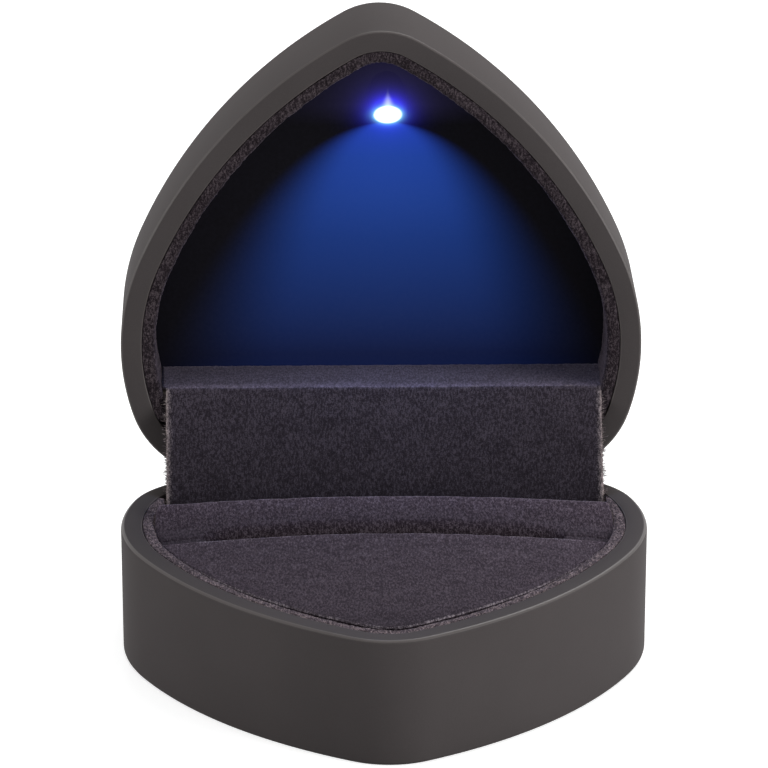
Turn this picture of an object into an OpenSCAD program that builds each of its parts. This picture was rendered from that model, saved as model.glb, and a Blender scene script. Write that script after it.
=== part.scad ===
// Ring display box with a hinged lid, a velvet lining and a small lamp in the lid.
// Lengths are millimetres. +Z is up, the box rests on z = 0, and its tip points to -Y.
// The box is drawn open. Everything in the lid is drawn shut and then turned about the hinge line.

/* [Box] */
// Width across the two lobes
box_width = 72; // [71:0.5:74]
// Height of the base
base_height = 17.9; // [17.9:0.1:19]
// Height of the lid
lid_height = 17.5; // [17.5:0.1:19]
// How far the lid stands open, degrees
lid_open_angle = 92; // [88:1:92]

/* [Plastic shells] */
// Width of the flat rim
rim_width = 2.9; // [2.8:0.1:3]
// Thickness of the walls below the rim
wall = 2; // [1.8:0.1:2.1]
// Thickness of the floor
floor_t = 1.4; // [1.2:0.1:1.4]
// Thickness of the roof
roof_t = 1.8; // [1.6:0.1:1.8]
// Rounding of the rim's outer edge
rim_round = 0.3; // [0.2:0.1:0.5]
// Rounding of the roof's edge
roof_round = 1.8; // [1.4:0.1:2.2]

/* [Cushion] */
// Height of the crown above the rim
cushion_crown = 1.6; // [1.2:0.1:1.6]
// Length of the ring slot
slot_length = 49; // [46:1:52]
// Depth of the ring slot
slot_depth = 7; // [5:0.5:8]

/* [Hidden] */
$fn = 72;

// The plan outline is four arcs a side, each tangent to the next, and a straight back.
// Arc radii from the tip to the lobe, as shares of the width.
tip_share = 0.1427;
side_share = 0.9326;
shoulder_share = 0.4281;
lobe_share = 0.1814;
arc_r = box_width * [tip_share, side_share, shoulder_share, lobe_share];
// Heading at which each arc starts, and the last one ends
heading = [0, 29.5, 66, 109.1, 180];
// Pull-in of the walls from the rim to the bottom or roof edge
draft = 0.2;
bottom_round = 0.65;
lip_depth = 1.3;
// Steps in a quarter of a rounded edge
round_steps = 5;
// Break of the rim's inner edge
rim_break = 0.2;
// Steps along each arc of the outline
arc_steps = 9;
// Free space between parts that are only laid together
play = 0.05;

// Length of the plan from the tip to the hinge line, arc by arc
function arc_depth(i) = arc_r[i] * (cos(heading[i]) - cos(heading[i + 1]));
box_depth = arc_depth(0) + arc_depth(1) + arc_depth(2) + arc_depth(3);
hinge_y = box_depth / 2;

// Lining: velvet on card, with a bead that shows inside the rim
bead_gap = 0.05;
liner_in = 4.85;
liner_back = 0.3;
liner_hook = 0.2;
bead_below_rim = 0.15;
bead_round = 0.8;
base_liner_depth = 10;
// The flap passes through this opening in the linings
flap_slot_half = 0.423 * box_width;
flap_slot_y = 12.9;

// Flap that covers the gap at the hinge
flap_half = flap_slot_half - 0.2;
flap_t = 1;
flap_velvet_t = 0.35;
flap_axis_y = 12.1;
flap_axis_z = 1;
flap_length = 17.2;
// Slope of the flap from the vertical when the lid is open
flap_slope = 38.6;
flap_nose_play = 0.12;

// Lid panel and the ledge below it. Behind the panel is the room for the cells.
cell_room = 6.4;
panel_z = lid_height - cell_room;
panel_t = 1;
panel_in = 2.3;
ledge_half = flap_slot_half - 0.15;
ledge_t = 1;
ledge_velvet_t = 0.35;
panel_back_y = 11.4;
panel_post_r = 1.5;
panel_posts = [for (s = [-1, 1]) for (p = [[0.305 * box_width, -0.345 * box_depth],
    [0.195 * box_width, -0.66 * box_depth]]) [s * p[0], p[1]]];

// Cushion. Its crown falls away to the sides and, with this power, to the tip. Behind the slot it
// swells up to the back edge, in the middle and a little more at the sides.
cushion_in = 5;
cushion_back = 12.9;
cushion_corner = 2.4;
back_roll = 1.5;
edge_roll = 1;
back_swell = 0.55;
back_swell_sides = 0.6;
side_fall = 1.76;
tip_fall = 1.4;
tip_power = 1.2;
slot_roll_from = 21;
slot_roll_to = 24.4;
slot_front = 26.1;
lip_round = 0.45;
lip_lean = 0.1;
slot_end_power = 8;
slot_min_depth = 0.15;
cover_t = 0.6;
foam_play = 0.05;
cover_bottom = 12;
board_t = 0.9;
across_steps = 18;

// Hinge
knuckle_r = 1.25;
pin_r = 0.6;
pin_play = 0.03;
knuckle_end = 12;
knuckle_split = 5;
knuckle_play = 0.1;
pocket_r = 1.4;
pocket_half = 12.2;
pocket_deep = 1.35;
leaf_t = 0.6;
leaf_low = 9;
leaf_tab_z = 0.6;
spring_t = 0.3;
spring_play = 0.2;
spring_half = 4;
spring_z = 1.4;
spring_low = 8;
screw_x = 8;
screw_z = 6;
screw_r = 0.7;
screw_head_r = 1.3;
screw_head_t = 0.5;
screw_in = 1.4;
hole_play = 0.02;

// Lamp, tilted to shine on the ring
lamp_x = 1;
lamp_from_tip = 14.6;
lamp_out = 1.9;
lamp_y = box_depth - lamp_from_tip;
lamp_z = panel_z - lamp_out;
lamp_r = 2.1;
lamp_long = 2.2;
lamp_tilt = 45;
lamp_leg_r = 0.25;
lamp_leg_x = 0.9;
lamp_leg_in = 0.6;
holder_r = 2.75;
holder_front = 0.35;
holder_long = 9;
board_half = [4, 5];
board_y = lamp_y + lamp_long;
board_z = panel_z + panel_t + play;
lamp_board_t = 0.8;

// Button cells behind the panel
cell_r = 5.8;
cell_t = 3.05;
cell_x = 6.4;
cells_y = 0.423 * box_depth;
tray_half = [13.9, 7];
tray_z = panel_z + panel_t + play;
tray_play = 0.1;
tray_top = lid_height - roof_t - tray_play;
cell_z = tray_top - cell_t;
cell_play = 0.1;
contact_t = 0.3;
contact_half = 2.4;
contact_play = 0.15;

// Light switch
switch_x = 18.2;
switch_half = 3;
switch_front = 6.05;
switch_z = [2, 7];
plunger_y = 3.3;
plunger_r = 0.9;
plunger_tip = -1;
plunger_top = 3.6;
plunger_bore_top = 5.2;
striker_half = 1.3;
striker_front = 4.4;
striker_z = [-6, -0.1];
lip_hole_play = 0.1;

// Leads: two to the lamp's board and two to the switch
wire_r = 0.4;
wire_bend_r = 0.43;
wire_z = tray_z + 2;
wire_gap = 0.3;
lamp_lead_apart = 1.5;
switch_lead_apart = 1.6;
switch_lead_turn_y = 9;
switch_lead_from_x = switch_x - 8;
switch_lead_to_x = switch_x - 1;

// Places rim coordinates in the base: y = 0 on the hinge line and z = 0 on the rim
module in_base() {
    translate([0, hinge_y, base_height]) children();
}

// Places the shut lid's rim coordinates, then opens the lid
module in_lid() {
    translate([0, hinge_y, base_height]) rotate([-lid_open_angle, 0, 0]) children();
}

// Places the flap: its fold is the origin, and it hangs down -Z before it is sloped
module in_flap() {
    in_lid()
        translate([0, -flap_axis_y, flap_axis_z])
            rotate([lid_open_angle - flap_slope, 0, 0]) children();
}

// Outward direction where the outline has a given heading
function outward(t) = [sin(t), -cos(t)];

function arc_centre(i) = i == 0
    ? [0, arc_r[0] - box_depth]
    : arc_centre(i - 1) + (arc_r[i - 1] - arc_r[i]) * outward(heading[i]);

// Points of one side of the outline, moved inward
function side_points(inset) = [
    for (i = [0:3])
        for (k = [(i == 0 ? 0 : 1):arc_steps])
            let (t = heading[i] + (heading[i + 1] - heading[i]) * k / arc_steps)
                arc_centre(i) + (arc_r[i] - inset) * outward(t)
];

function outline_points(inset) = let (side = side_points(inset), n = len(side)) concat(
    side,
    [for (k = [n - 1:-1:1]) [-side[k][0], side[k][1]]]
);

// Half the width of the inset outline at a distance from the hinge line
function half_width(back, inset) = [
    for (i = [0:3])
        let (c = arc_centre(i), s = (-back - c[1]) / (arc_r[i] - inset))
            if (abs(s) <= 1 && asin(s) + 90 >= heading[i] - 0.01 && asin(s) + 90 <= heading[i + 1] + 0.01)
                c[0] + (arc_r[i] - inset) * cos(asin(s))
][0];

// Quarter round from one angle to the other about a corner's centre
function round_off(centre, r, from, to) = [
    for (k = [0:round_steps])
        let (a = from + (to - from) * k / round_steps)
            centre + r * [cos(a), sin(a)]
];

// Points of a loop round the outline for each place in a profile of [inset, z]
function loft_points(profile) = [
    for (p = profile)
        for (q = outline_points(p[0])) [q[0], q[1], p[1]]
];

// Skin from each loop to the next one up. With closed, the last loop joins the first.
function loft_skin(loops, n, closed) = [
    for (j = [0:loops - (closed ? 1 : 2)])
        for (k = [0:n - 1])
            let (m = (k + 1) % n, low = j * n, high = ((j + 1) % loops) * n)
                [low + k, high + k, high + m, low + m]
];

// Solid whose edge follows a profile from its bottom loop to its top loop
module loft(profile) {
    n = len(outline_points(0));
    loops = len(profile);
    polyhedron(loft_points(profile), concat(
        loft_skin(loops, n, false),
        [[for (k = [0:n - 1]) k]],
        [[for (k = [n - 1:-1:0]) (loops - 1) * n + k]]
    ));
}

// Band round the outline with the profile as its section
module loft_band(profile) {
    polyhedron(loft_points(profile), loft_skin(len(profile), len(outline_points(0)), true));
}

module plate(inset, z, t) {
    translate([0, 0, z]) linear_extrude(t) polygon(outline_points(inset));
}

module block(from, to) {
    translate(from) cube(to - from);
}

// A rod along X
module rod_x(r, from, to) {
    translate([from, 0, 0]) rotate([0, 90, 0]) cylinder(r = r, h = to - from);
}

// A rod that runs back along +Y from a point
module rod_y(r, long) {
    rotate([-90, 0, 0]) cylinder(r = r, h = long);
}

// Profiles give [inset, z], with the rim at z = 0
function base_outside() = concat(
    round_off([draft + bottom_round, bottom_round - base_height], bottom_round, 270, 180),
    round_off([rim_round, -rim_round], rim_round, 180, 90)
);

function lid_outside() = concat(
    round_off([rim_round, rim_round], rim_round, 270, 180),
    round_off([draft + roof_round, lid_height - roof_round], roof_round, 180, 90)
);

// Hollow of a shell from its floor or roof to its open rim. The rim's inner edge is broken.
function hollow(deep) = [
    [wall, -deep], [wall, -lip_depth], [rim_width, -lip_depth], [rim_width, -rim_break],
    [rim_width - rim_break - 0.1, 0.1]
];

// Room for the knuckles and tabs of the hinge in a rim at the back
module hinge_pocket(side) {
    rod_x(pocket_r, -pocket_half, pocket_half);
    low = side < 0 ? -pocket_deep : -1;
    high = side < 0 ? 1 : pocket_deep;
    block([-pocket_half, -rim_width - 0.2, low], [pocket_half, 1, high]);
}

module screw_holes(z, r, from) {
    for (x = [-screw_x, screw_x])
        translate([x, -from, z]) rod_y(r, screw_in + from - wall);
}

// Base: an open shell with a flat lipped rim
module base_shell() {
    color("dimgray") in_base() difference() {
        loft(base_outside());
        difference() {
            loft(hollow(base_height - floor_t));
            block([switch_x - striker_half, -striker_front, striker_z[0]],
                  [switch_x + striker_half, 0, striker_z[1]]);
        }
        hinge_pocket(-1);
        block([-spring_half - spring_play, -rim_width - spring_play, -spring_z - spring_t - spring_play / 2],
              [spring_half + spring_play, 1, 0]);
        screw_holes(-screw_z, screw_r + hole_play, wall + 1);
    }
}

// Lid: the same shell turned over, deeper at its rounded edge
module lid_shell() {
    color("dimgray") in_lid() difference() {
        loft(lid_outside());
        difference() {
            mirror([0, 0, 1]) loft(hollow(lid_height - roof_t));
            for (p = panel_posts)
                translate([p[0], p[1], panel_z + panel_t + play]) cylinder(r = panel_post_r, h = lid_height);
        }
        hinge_pocket(1);
        screw_holes(screw_z, screw_r + hole_play, wall + 1);
        translate([switch_x, -plunger_y, -1]) cylinder(r = plunger_r + lip_hole_play, h = lip_depth + 2);
    }
}

// Lining strip with its rounded bead, hooked under the lip. z grows into the shell.
function liner_section(deep) = concat(
    [[rim_width + bead_gap, lip_depth + liner_hook], [wall + liner_back, lip_depth + liner_hook],
     [wall + liner_back, deep], [liner_in, deep]],
    round_off([liner_in - bead_round, bead_below_rim + bead_round], bead_round, 360, 270),
    round_off([rim_width + bead_gap + bead_round, bead_below_rim + bead_round], bead_round, 270, 180)
);

module liner(deep) {
    difference() {
        loft_band(liner_section(deep));
        block([-flap_slot_half, -flap_slot_y, -1], [flap_slot_half, 1, deep + 1]);
    }
}

module base_liner() {
    color("#5a525c") in_base() mirror([0, 0, 1]) liner(base_liner_depth);
}

module lid_liner() {
    color("#5a525c") in_lid() liner(panel_z - play);
}

// Smooth panel at the back of the lid, with a tilted hole for the lamp holder
module lid_panel() {
    color("#101018") in_lid() difference() {
        intersection() {
            plate(panel_in, panel_z, panel_t);
            block([-box_width, -box_depth, panel_z - 1], [box_width, -panel_back_y, panel_z + 2]);
        }
        along_lamp() translate([0, 0, -holder_long / 2]) cylinder(r = holder_r + play, h = 2 * holder_long);
    }
}

// Card of the ledge, with a hollow end that clears the flap's rounded fold
module ledge_card() {
    front = flap_axis_y + ledge_t / 2;
    color("#8a8078") in_lid() difference() {
        block([-ledge_half, ledge_velvet_t - front, flap_axis_z],
              [ledge_half, ledge_t - front, panel_z - play / 2]);
        fold_clearance();
    }
}

module ledge_velvet() {
    front = flap_axis_y + ledge_t / 2;
    color("#5a525c") in_lid() difference() {
        block([-ledge_half, -front, flap_axis_z], [ledge_half, ledge_velvet_t - front, panel_z - play / 2]);
        fold_clearance();
    }
}

module fold_clearance() {
    translate([0, -flap_axis_y, flap_axis_z])
        rod_x(flap_t / 2 + flap_nose_play, -box_width / 2, box_width / 2);
}

// Outline of the flap seen from its end: a flat strip with a rounded fold at the top
module flap_section(t_front, t_back, low) {
    difference() {
        union() {
            circle(r = flap_t / 2);
            translate([-flap_t / 2, -low]) square([flap_t, low]);
        }
        translate([t_back, -low - 1]) square([flap_t, low + 2]);
        translate([t_front - flap_t, -low - 1]) square([flap_t, low + 2]);
    }
}

module flap_slice(t_front, t_back) {
    in_flap() translate([-flap_half, 0, 0])
        rotate([90, 0, 90]) linear_extrude(2 * flap_half) flap_section(t_front, t_back, flap_length);
}

// Velvet on the face that shows
module flap_velvet() {
    color("#5a525c") flap_slice(-flap_t / 2, flap_velvet_t - flap_t / 2);
}

// Stiff card behind the velvet
module flap_card() {
    color("#8a8078") flap_slice(flap_velvet_t - flap_t / 2, flap_t / 2 + 1);
}

// Share of the full slot depth at a place across the cushion: it runs out at both ends
function slot_share(x) = let (s = min(1, abs(x) / (slot_length / 2))) 1 - pow(s, slot_end_power);

// Height of the cushion's crown, with its fall to the sides and the tip and its swell to the back
function crown(x, back) = let (
    across = pow(x / (box_width / 2 - cushion_in), 2),
    to_tip = max(0, (back - cushion_back) / (box_depth - cushion_in - cushion_back)),
    to_back = min(1, max(0, (slot_roll_from - back) / (slot_roll_from - cushion_back - back_roll)))
)
    cushion_crown
    - side_fall * across
    - tip_fall * pow(to_tip, tip_power)
    + (back_swell + back_swell_sides * across) * to_back;

function quarter_fall(d, r) = d >= r ? 0 : r - sqrt(r * r - (r - d) * (r - d));

// Rows of the cushion from the back to the tip: distance from the hinge line, and share of the
// slot depth there. A skin depth moves every face inward.
function cushion_rows(skin) = let (
    first = cushion_back + skin,
    last = box_depth - cushion_in - skin - 0.02,
    roll = edge_roll - skin / 2,
    far_roll = back_roll - skin / 2,
    wall_end = slot_roll_to - skin,
    lip = slot_front + skin
) concat(
    [for (a = [0, 35, 65, 90]) [first + far_roll * (1 - cos(a)), 0]],
    [for (k = [1:2]) [first + far_roll + (slot_roll_from - first - far_roll) * k / 2, 0]],
    [for (a = [30, 55, 75, 90]) [slot_roll_from + (wall_end - slot_roll_from) * sin(a), 1 - cos(a)]],
    [[lip - lip_lean, 1], [lip, lip_round / slot_depth], [lip + lip_round / 3, lip_round / 3 / slot_depth],
     [lip + lip_round, 0]],
    [for (k = [1:6]) [lip + lip_round + (last - roll - lip - lip_round) * k / 6, 0]],
    [for (a = [25, 50, 72, 90]) [last - roll * (1 - sin(a)), 0]]
);

// Half width of a row, with the two back corners rounded
function row_half(back, skin) = let (
    corner = cushion_corner,
    into = back - cushion_back - skin,
    side = half_width(back, cushion_in + skin)
) into >= corner
    ? side
    : min(side, half_width(cushion_back + corner, cushion_in + skin) - corner
        + sqrt(max(0, corner * corner - (corner - into) * (corner - into))));

// Fall of the rolled edge at the back and at the tip
function end_fall(back, skin) = max(
    quarter_fall(max(0, back - cushion_back - skin), back_roll - skin / 2),
    quarter_fall(max(0, box_depth - cushion_in - skin - back), edge_roll - skin / 2)
);

function cushion_point(row, b, skin) = let (
    back = row[0],
    w = row_half(back, skin),
    x = w * sin(90 * b),
    fall = max(quarter_fall(w - abs(x), edge_roll - skin / 2), end_fall(back, skin)),
    slot = row[1] * (slot_min_depth + (slot_depth - slot_min_depth) * slot_share(x))
) [x, -back, crown(x, back) - skin - fall - slot];

// Top of the cushion as a grid of points, row by row
function cushion_grid(skin) = [
    for (row = cushion_rows(skin))
        for (i = [0:across_steps])
            cushion_point(row, 2 * i / across_steps - 1, skin)
];

// Point numbers round the edge of a grid
function grid_edge(rows, cols) = concat(
    [for (i = [0:cols - 1]) i],
    [for (j = [1:rows - 1]) j * cols + cols - 1],
    [for (i = [cols - 2:-1:0]) (rows - 1) * cols + i],
    [for (j = [rows - 2:-1:1]) j * cols]
);

function grid_faces(rows, cols, from, up) = [
    for (j = [0:rows - 2])
        for (i = [0:cols - 2])
            let (a = from + j * cols + i, b = a + 1, c = a + cols, d = c + 1)
                for (f = up ? [[a, b, d], [a, d, c]] : [[a, d, b], [a, c, d]]) f
];

// Strip of faces between two loops of equal length
function strip_faces(upper, lower) = let (n = len(upper)) [
    for (k = [0:n - 1])
        let (m = (k + 1) % n)
            for (f = [[upper[k], lower[k], lower[m]], [upper[k], lower[m], upper[m]]]) f
];

function dropped(points, loop, z) = [for (k = loop) [points[k][0], points[k][1], z]];

function numbered(from, n) = [for (k = [0:n - 1]) from + k];

// Velvet cover of the cushion, an even skin that is open underneath
module cushion_cover() {
    rows = len(cushion_rows(0));
    cols = across_steps + 1;
    count = rows * cols;
    edge = grid_edge(rows, cols);
    n = len(edge);
    outer = cushion_grid(0);
    inner = cushion_grid(cover_t);
    outer_low = numbered(2 * count, n);
    inner_low = numbered(2 * count + n, n);
    inner_edge = [for (k = edge) k + count];
    points = concat(outer, inner, dropped(outer, edge, -cover_bottom), dropped(inner, edge, -cover_bottom));
    color("#5a525c") in_base() polyhedron(points, concat(
        grid_faces(rows, cols, 0, true),
        grid_faces(rows, cols, count, false),
        strip_faces(edge, outer_low),
        strip_faces(inner_low, inner_edge),
        strip_faces(outer_low, inner_low)
    ));
}

// Foam block inside the cover
module cushion_foam() {
    skin = cover_t + foam_play;
    low = board_t + floor_t - base_height + play;
    rows = len(cushion_rows(skin));
    cols = across_steps + 1;
    edge = grid_edge(rows, cols);
    n = len(edge);
    top = cushion_grid(skin);
    under = numbered(rows * cols, n);
    points = concat(top, dropped(top, edge, low), [[0, -box_depth / 2, low]]);
    middle = len(points) - 1;
    color("khaki") in_base() polyhedron(points, concat(
        grid_faces(rows, cols, 0, true),
        strip_faces(edge, under),
        [for (k = [0:n - 1]) [under[(k + 1) % n], under[k], middle]]
    ));
}

// Card that the foam is glued to
module cushion_board() {
    color("#8a8078") in_base() intersection() {
        plate(liner_in, floor_t - base_height, board_t);
        block([-box_width, -box_depth, -base_height], [box_width, -cushion_back, 0]);
    }
}

// One hinge leaf below the hinge line: knuckles on short tabs and a plate on the wall
module leaf(spans) {
    back = -wall - play;
    difference() {
        union() {
            for (s = spans) {
                rod_x(knuckle_r, s[0], s[1]);
                block([s[0], back - leaf_t, -leaf_tab_z - leaf_t], [s[1], 0, -leaf_tab_z]);
            }
            block([-knuckle_end, back - leaf_t, -leaf_low], [knuckle_end, back, -leaf_tab_z]);
        }
        rod_x(pin_r + pin_play, -box_width, box_width);
        for (x = [-screw_x, screw_x])
            translate([x, -wall - 2, -screw_z]) rod_y(screw_r + 0.1, 4);
    }
}

// The base's leaf is cut away in the middle, where the flat spring passes over it
module hinge_base_leaf() {
    color("silver") in_base() difference() {
        leaf([[-knuckle_end, -knuckle_split], [knuckle_split, knuckle_end]]);
        block([-spring_half - spring_play, -knuckle_split, -spring_z - spring_t - spring_play / 2],
              [spring_half + spring_play, 0, 0]);
    }
}

module hinge_lid_leaf() {
    half = knuckle_split - knuckle_play;
    color("silver") in_lid() mirror([0, 0, 1]) leaf([[-half, half]]);
}

module hinge_pin() {
    color("silver") in_base() rod_x(pin_r, -knuckle_end, knuckle_end);
}

// Flat spring that bears on the lid's knuckle and holds the lid open or shut
module hinge_spring() {
    back = wall + play + leaf_t + play;
    color("lightsteelblue") in_base() union() {
        block([-spring_half, -back - spring_t, -spring_low], [spring_half, -back, -spring_z - spring_t / 2]);
        block([-spring_half, -back - spring_t, -spring_z - spring_t], [spring_half, -spring_play, -spring_z]);
    }
}

// Two screws through a leaf into the wall
module screws(z) {
    seat = -wall - play - leaf_t;
    for (x = [-screw_x, screw_x]) translate([x, seat, z]) {
        rod_y(screw_r, leaf_t + play + screw_in - play);
        translate([0, -screw_head_t - play / 2, 0]) rod_y(screw_head_r, screw_head_t);
        translate([0, -screw_head_t / 2, 0]) rod_y(screw_r, screw_head_t);
    }
}

module base_hinge_screws() {
    color("gainsboro") in_base() screws(-screw_z);
}

module lid_hinge_screws() {
    color("gainsboro") in_lid() screws(screw_z);
}

// Places the lamp's axis on Z, shining down -Z, inside the shut lid
module along_lamp() {
    translate([lamp_x, -lamp_y, lamp_z]) rotate([lamp_tilt, 0, 0]) children();
}

// Flat-faced lamp with two legs
module lamp() {
    back = lamp_long * sin(lamp_tilt);
    color("aliceblue") in_lid() union() {
        along_lamp() cylinder(r = lamp_r, h = lamp_long);
        for (s = [-1, 1])
            translate([lamp_x + s * lamp_leg_x, -lamp_y - back, lamp_z + back - lamp_leg_in])
                cylinder(r = lamp_leg_r, h = board_z + lamp_board_t - lamp_z - back + lamp_leg_in);
    }
}

// Collar that holds the lamp at its slant in the panel
module lamp_holder() {
    color("#202024") in_lid() difference() {
        intersection() {
            along_lamp() translate([0, 0, -holder_front]) cylinder(r = holder_r, h = holder_long);
            block([-holder_long, -box_depth, 0], [holder_long, 0, panel_z + panel_t]);
        }
        along_lamp() translate([0, 0, -1]) cylinder(r = lamp_r + play, h = holder_long);
    }
}

module lamp_board() {
    color("darkgreen") in_lid() difference() {
        block([lamp_x - board_half[0], -board_y - board_half[1], board_z],
              [lamp_x + board_half[0], -board_y + board_half[1], board_z + lamp_board_t]);
        for (s = [-1, 1])
            translate([lamp_x + s * lamp_leg_x, -lamp_y - lamp_long * sin(lamp_tilt), board_z - 1])
                cylinder(r = lamp_leg_r + play, h = 3);
    }
}

// Tray for two button cells, with a slot beside each for its contact
module battery_holder() {
    color("#303034") in_lid() difference() {
        block([-tray_half[0], -cells_y - tray_half[1], tray_z], [tray_half[0], tray_half[1] - cells_y, tray_top]);
        for (s = [-1, 1]) {
            translate([s * cell_x, -cells_y, cell_z - play / 2]) cylinder(r = cell_r + cell_play, h = cell_t + 1);
            contact_block(s, contact_play);
        }
    }
}

module contact_block(s, grow) {
    mid = s * (cell_x + cell_r + cell_play + contact_t / 2);
    block([mid - contact_t / 2 - grow / 2, -cells_y - contact_half - grow, cell_z + tray_play - grow],
          [mid + contact_t / 2 + grow / 2, contact_half - cells_y + grow, tray_top - tray_play + 2 * grow]);
}

module button_cells() {
    color("silver") in_lid()
        for (s = [-1, 1])
            translate([s * cell_x, -cells_y, cell_z]) cylinder(r = cell_r, h = cell_t);
}

module battery_contacts() {
    color("goldenrod") in_lid()
        for (s = [-1, 1]) contact_block(s, 0);
}

// Push switch behind the flap, let out when the lid opens
module switch_body() {
    color("#303034") in_lid() difference() {
        block([switch_x - switch_half, -switch_front, switch_z[0]],
              [switch_x + switch_half, -wall - play, switch_z[1]]);
        translate([switch_x, -plunger_y, switch_z[0] - 1])
            cylinder(r = plunger_r + play, h = plunger_bore_top - switch_z[0] + 1);
    }
}

module switch_plunger() {
    color("whitesmoke") in_lid()
        translate([switch_x, -plunger_y, plunger_tip]) cylinder(r = plunger_r, h = plunger_top - plunger_tip);
}

// A round wire through a list of points
module wire(points) {
    for (k = [0:len(points) - 2]) {
        d = points[k + 1] - points[k];
        translate(points[k])
            rotate([0, acos(d[2] / norm(d)), atan2(d[1], d[0])]) cylinder(r = wire_r, h = norm(d));
    }
    for (k = [1:len(points) - 2]) translate(points[k]) sphere(r = wire_bend_r);
}

// Leads from the cells to the lamp's board and to the switch
module wires() {
    lamp_lead_from = cells_y + tray_half[1] + play;
    lamp_lead_to = board_y - board_half[1] - wire_r;
    switch_lead_from = cells_y - tray_half[1] - wire_gap;
    color("firebrick") in_lid() {
        for (x = [lamp_x - lamp_lead_apart, lamp_x + lamp_lead_apart])
            wire([[x, -lamp_lead_from, wire_z], [x, lamp_lead_apart - lamp_lead_to, wire_z],
                  [x, -lamp_lead_to, board_z + wire_r]]);
        for (x = [0, switch_lead_apart])
            wire([[switch_lead_from_x + x, -switch_lead_from, wire_z],
                  [switch_lead_to_x + x, -switch_lead_turn_y, wire_z],
                  [switch_lead_to_x + x, wire_r - switch_front, switch_z[1] + wire_r + play]]);
    }
}

base_shell();
base_liner();
cushion_cover();
cushion_foam();
cushion_board();
hinge_base_leaf();
hinge_lid_leaf();
hinge_pin();
hinge_spring();
base_hinge_screws();
lid_hinge_screws();
lid_shell();
lid_liner();
lid_panel();
ledge_card();
ledge_velvet();
flap_card();
flap_velvet();
lamp();
lamp_holder();
lamp_board();
battery_holder();
button_cells();
battery_contacts();
switch_body();
switch_plunger();
wires();
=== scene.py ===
"""Looks of a small ring display box that stands open, with velvet linings and a lamp in its lid.

Lengths are millimetres until a mesh is made. Rim coordinates have y = 0 on the hinge line, y < 0 towards
the tip and z = 0 on the rim. The lid's pieces are drawn shut and then turned open about the hinge line.
"""

import math

import bmesh
import bpy
import numpy as np
from mathutils import Matrix, Vector, noise


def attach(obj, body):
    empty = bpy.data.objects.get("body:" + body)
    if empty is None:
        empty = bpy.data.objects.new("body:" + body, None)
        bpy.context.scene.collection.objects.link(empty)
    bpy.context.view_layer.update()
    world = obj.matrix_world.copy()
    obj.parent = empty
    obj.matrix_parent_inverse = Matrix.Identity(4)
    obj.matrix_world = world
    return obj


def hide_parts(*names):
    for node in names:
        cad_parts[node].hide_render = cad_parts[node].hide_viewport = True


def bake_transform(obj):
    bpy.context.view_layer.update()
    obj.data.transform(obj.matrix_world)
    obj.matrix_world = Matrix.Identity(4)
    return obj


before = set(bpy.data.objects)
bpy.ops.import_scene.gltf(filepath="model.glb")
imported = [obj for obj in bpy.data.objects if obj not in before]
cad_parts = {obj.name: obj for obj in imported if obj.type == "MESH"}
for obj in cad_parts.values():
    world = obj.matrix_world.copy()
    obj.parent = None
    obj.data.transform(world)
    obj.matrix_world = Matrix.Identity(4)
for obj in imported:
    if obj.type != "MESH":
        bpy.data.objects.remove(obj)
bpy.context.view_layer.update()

MM = 0.001

# Sizes that the frame was built with
WIDTH = 72.0
BASE_HEIGHT = 17.9
LID_HEIGHT = 17.5
OPEN_ANGLE = 92.0
# Radii of the plan's four arcs from the tip back, and the headings in degrees where they begin and end
ARC_R = [WIDTH * share for share in (0.1427, 0.9326, 0.4281, 0.1814)]
HEADING = [0.0, 29.5, 66.0, 109.1, 180.0]
DEPTH = sum(
    r * (math.cos(math.radians(a)) - math.cos(math.radians(b)))
    for r, a, b in zip(ARC_R, HEADING, HEADING[1:])
)
HINGE = Vector((0.0, DEPTH / 2, BASE_HEIGHT))
RIM_WIDTH = 2.9
WALL = 2.0
FLOOR = 1.4
ROOF = 1.8
DRAFT = 0.2
LIP_DEPTH = 1.3
BOTTOM_ROUND = 0.65
ROOF_ROUND = 1.8
FLAP_LENGTH = 17.2
FLAP_T = 1.0
PILE = 0.35
LEDGE_FRONT = 12.6
# The fold's middle line in the shut lid, as [y, z], and the flap's slope in the open box in degrees
FLAP_AXIS = (-12.1, 1.0)
FLAP_SLOPE = 38.6

# Sizes fitted to the photograph, a little off the frame's
BASE_RIM_ROUND = 0.6
LID_RIM_ROUND = 0.35
RIM_INNER_ROUND = 0.15
FLAP_HALF = 30.15
FLAP_SHIFT = 0.35
LEDGE_HALF = 30.7

# Slack where a heading is compared with an arc's ends, in degrees
ARC_SLACK = 0.01


# Places: from rim coordinates in millimetres to the row frame in metres

def to_base(p):
    """Rim coordinates of the base."""
    return (Vector(p) + HINGE) * MM


def lid_turn(y, z, degrees=OPEN_ANGLE):
    """The direction [y, z] turned open about the hinge line."""
    a = math.radians(degrees)
    return (y * math.cos(a) + z * math.sin(a), -y * math.sin(a) + z * math.cos(a))


def to_lid(p):
    """Rim coordinates of the shut lid, turned open."""
    y, z = lid_turn(p[1], p[2])
    return (Vector((p[0], y, z)) + HINGE) * MM


def to_flap(p):
    """Flap coordinates: the fold is the origin and the flap hangs down -Z before it is sloped."""
    y, z = lid_turn(p[1], p[2], FLAP_SLOPE)
    fold_y, fold_z = lid_turn(*FLAP_AXIS)
    return (Vector((p[0], y + fold_y, z + fold_z)) + HINGE) * MM


# Plan outline: four tangent arcs a side and a straight back

def outward(t):
    """Direction straight out of the outline where it has heading t."""
    return np.array((math.sin(math.radians(t)), -math.cos(math.radians(t))))


ARC_CENTRE = [np.array((0.0, ARC_R[0] - DEPTH))]
for index in range(1, len(ARC_R)):
    ARC_CENTRE.append(ARC_CENTRE[-1] + (ARC_R[index - 1] - ARC_R[index]) * outward(HEADING[index]))


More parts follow.
